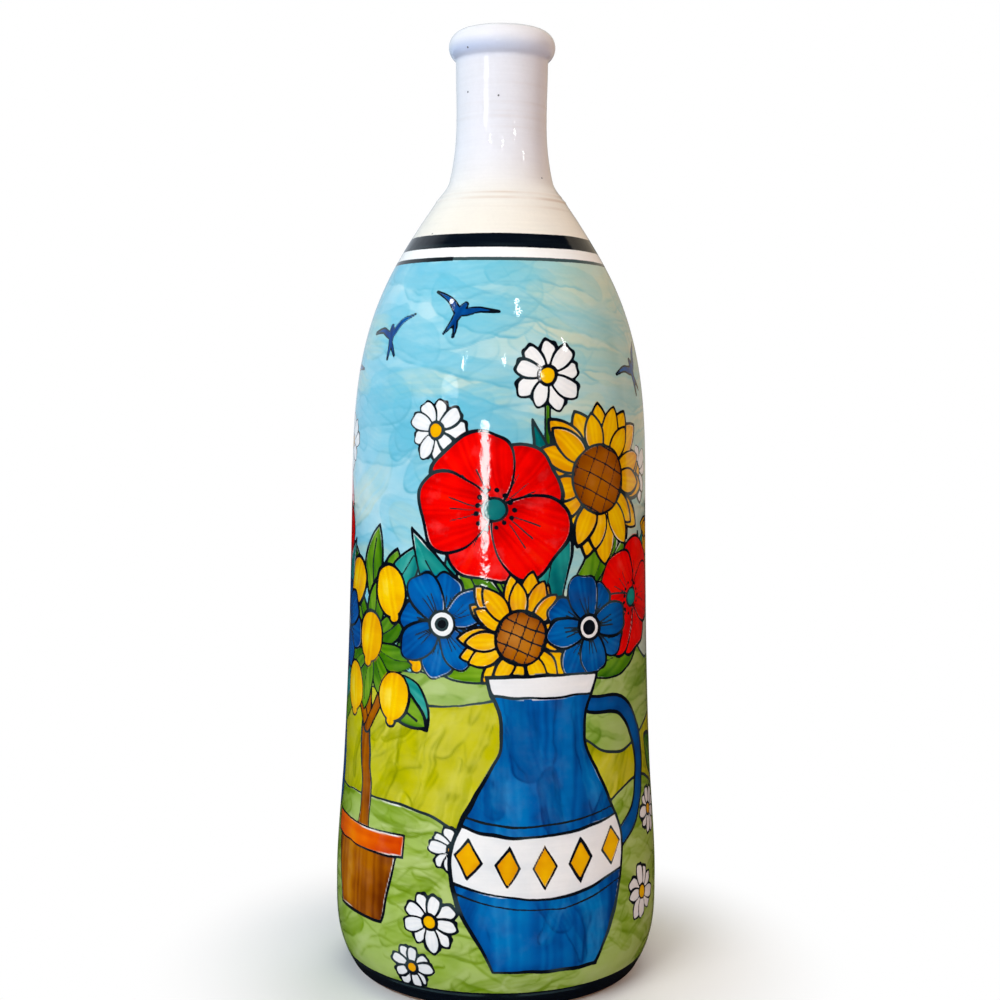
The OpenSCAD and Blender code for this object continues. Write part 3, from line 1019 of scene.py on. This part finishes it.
# studio light: degrees to the right, distance and height in metres, size, power, colour
softLamps = {
    "window": (-34, 1.7, 1.0, (1.0, 1.3), 23.5, (0.96, 0.98, 1.0)),
    "room": (86, 1.6, 0.5, (0.9, 1.2), 6.6, (1.0, 0.6, 0.33)),
    "ceiling": (0, 0.3, 1.9, (1.2, 1.2), 7.6, (1.0, 0.98, 0.94)),
    "garden": (-112, 1.5, 0.5, (0.9, 1.2), 5.0, (0.4, 0.74, 1.0)),
    "rear": (160, 1.7, 0.8, (1.2, 1.4), 15, (1.0, 0.97, 0.93)),
}
# lamps that the glaze mirrors as a strip, a sheen and sparkles
white, warm = (1.0, 1.0, 1.0), (1.0, 0.98, 0.95)
mirroredLamps = {
    "strip": (-10.2, 1.3, 0.242, (0.11, 0.29), 2.1, white),
    "sheen": (-39.2, 2.5, 0.847, (0.5, 0.257), 1.7, white),
    "bulbLow": (3.5, 2.5, 1.3, (0.125, 0.13), 1.95, warm),
    "bulbHigh": (17.2, 1.2, 1.32, (0.06, 0.125), 0.73, warm),
    "bulbRight": (33.5, 2.6, 1.134, (0.114, 0.152), 1.65, warm),
    "bulbFar": (56.6, 2.5, 1.424, (0.1, 0.153), 1.56, warm),
    "bulbLeft": (-28.7, 2.5, 1.225, (0.104, 0.117), 1.62, warm),
    "bulbTop": (-50.2, 1.2, 1.28, (0.06, 0.08), 0.5, warm),
}
aimHeight = 0.22
for lampName, (turn, away, height, size, power, colour) in {**softLamps, **mirroredLamps}.items():
    side = radians(turn)
    place = Vector((away * sin(side), -away * cos(side), height))
    bpy.ops.object.light_add(type="AREA", location=place)
    lamp = bpy.context.object
    lamp.name = lampName
    lamp.rotation_euler = (Vector((0, 0, aimHeight)) - place).to_track_quat("-Z", "Y").to_euler()
    lamp.visible_glossy = lampName in mirroredLamps
    lamp.data.shape = "RECTANGLE"
    lamp.data.size, lamp.data.size_y = size
    lamp.data.energy = power
    lamp.data.color = colour

# a pale floor that turns white away from the vase and throws little light up at it
floorSizes = {"side": 8, "clear": 0.075, "white": 0.17, "pale": (0.92, 0.92, 0.92),
              "thrown": (0.64, 0.64, 0.71), "mirrored": (0.16, 0.15, 0.14)}
bpy.ops.mesh.primitive_plane_add(size=floorSizes["side"])
floor = bpy.context.object
floor.name = "floor"
finish = Finish("floor_white")
seen = finish.node("ShaderNodeLightPath", out="Is Camera Ray")
mirrored = finish.node("ShaderNodeLightPath", out="Is Glossy Ray")
colour = finish.blend(seen, rgb(floorSizes["thrown"]), rgb(floorSizes["pale"]))
colour = finish.blend(mirrored, colour, rgb(floorSizes["mirrored"]))
finish.fill(finish.shader, {"Base Color": colour, "Roughness": 0.9, "Specular IOR Level": 0})
away = finish.vector("LENGTH", finish.spot(), out="Value")
glow = finish.node("ShaderNodeEmission", {"Color": (1, 1, 1, 1), "Strength": 1})
whiter = seen * finish.ramp(away, floorSizes["clear"], floorSizes["white"])
plain = Wire(finish, finish.shader.outputs[0])
surface = finish.node("ShaderNodeMixShader", {0: whiter, 1: plain, 2: glow})
finish.fill(finish.tree.nodes["Material Output"], {"Surface": surface})
floor.data.materials.append(finish.block)

# dark curtains that only the glaze mirrors, with pale stretches behind both sides
curtains = {"radius": 2.8, "height": 3.0, "clear": 0.01, "steps": 72, "dark": (0.1, 0.08, 0.065),
            "pales": [{"turn": -146, "half": 14, "fade": 40, "colour": (0.8, 0.84, 0.88)},
                      {"turn": 140, "half": 22, "fade": 5, "colour": (0.74, 0.69, 0.61)}]}
bpy.ops.mesh.primitive_cylinder_add(vertices=curtains["steps"], radius=curtains["radius"],
                                    depth=curtains["height"], end_fill_type="TRIFAN",
                                    location=(0, 0, curtains["height"] / 2 + curtains["clear"]))
bpy.ops.object.transform_apply()
curtain = bpy.context.object
curtain.name = "curtains"
bpy.ops.object.mode_set(mode="EDIT")
bpy.ops.mesh.select_mode(type="FACE")
bpy.ops.mesh.select_all(action="DESELECT")
bpy.ops.object.mode_set(mode="OBJECT")
for face in curtain.data.polygons:
    face.select = face.center.z < 2 * curtains["clear"]
bpy.ops.object.mode_set(mode="EDIT")
bpy.ops.mesh.delete(type="FACE")
bpy.ops.object.mode_set(mode="OBJECT")
finish = Finish("curtain_brown")
outward = finish.vector("NORMALIZE", finish.vector("MULTIPLY", finish.spot(), (1, 1, 0)))
colour = rgb(curtains["dark"])
for pale in curtains["pales"]:
    turn, half, fade = (radians(pale[name]) for name in ("turn", "half", "fade"))
    toward = finish.vector("DOT_PRODUCT", outward, (sin(turn), -cos(turn), 0), "Value")
    share = finish.ramp(toward, cos(half + fade), cos(half))
    colour = finish.blend(share, colour, rgb(pale["colour"]))
shade = finish.node("ShaderNodeEmission", {"Color": colour, "Strength": 1})
finish.fill(finish.tree.nodes["Material Output"], {"Surface": shade})
curtain.data.materials.append(finish.block)
for sight in ("camera", "diffuse", "transmission", "shadow"):
    setattr(curtain, "visible_" + sight, False)

# the room's own light is cooler from the left, warmer from the right, and white to the camera
studio = {"ambient": 0.25, "white": 1.0, "left": (0.84, 0.97, 1.0), "right": (1.0, 0.87, 0.79), "reach": 0.8}
world = bpy.data.worlds.new("studio")
bpy.context.scene.world = world
finish = Finish("studio", world)
seen = finish.node("ShaderNodeLightPath", out="Is Camera Ray")
toward = finish.node("ShaderNodeTexCoord", out="Generated")
rightward = finish.node("ShaderNodeSeparateXYZ", {"Vector": toward}, "X")
share = finish.ramp(rightward, -studio["reach"], studio["reach"])
colour = finish.blend(share, rgb(studio["left"]), rgb(studio["right"]))
colour = finish.blend(seen, colour, (1, 1, 1, 1))
level = finish.ramp(seen, 0, 1, studio["ambient"], studio["white"])
finish.fill(finish.tree.nodes["Background"], {"Color": colour, "Strength": level})
bpy.context.scene.view_settings.view_transform = "Standard"
print("camera, light and floor set")
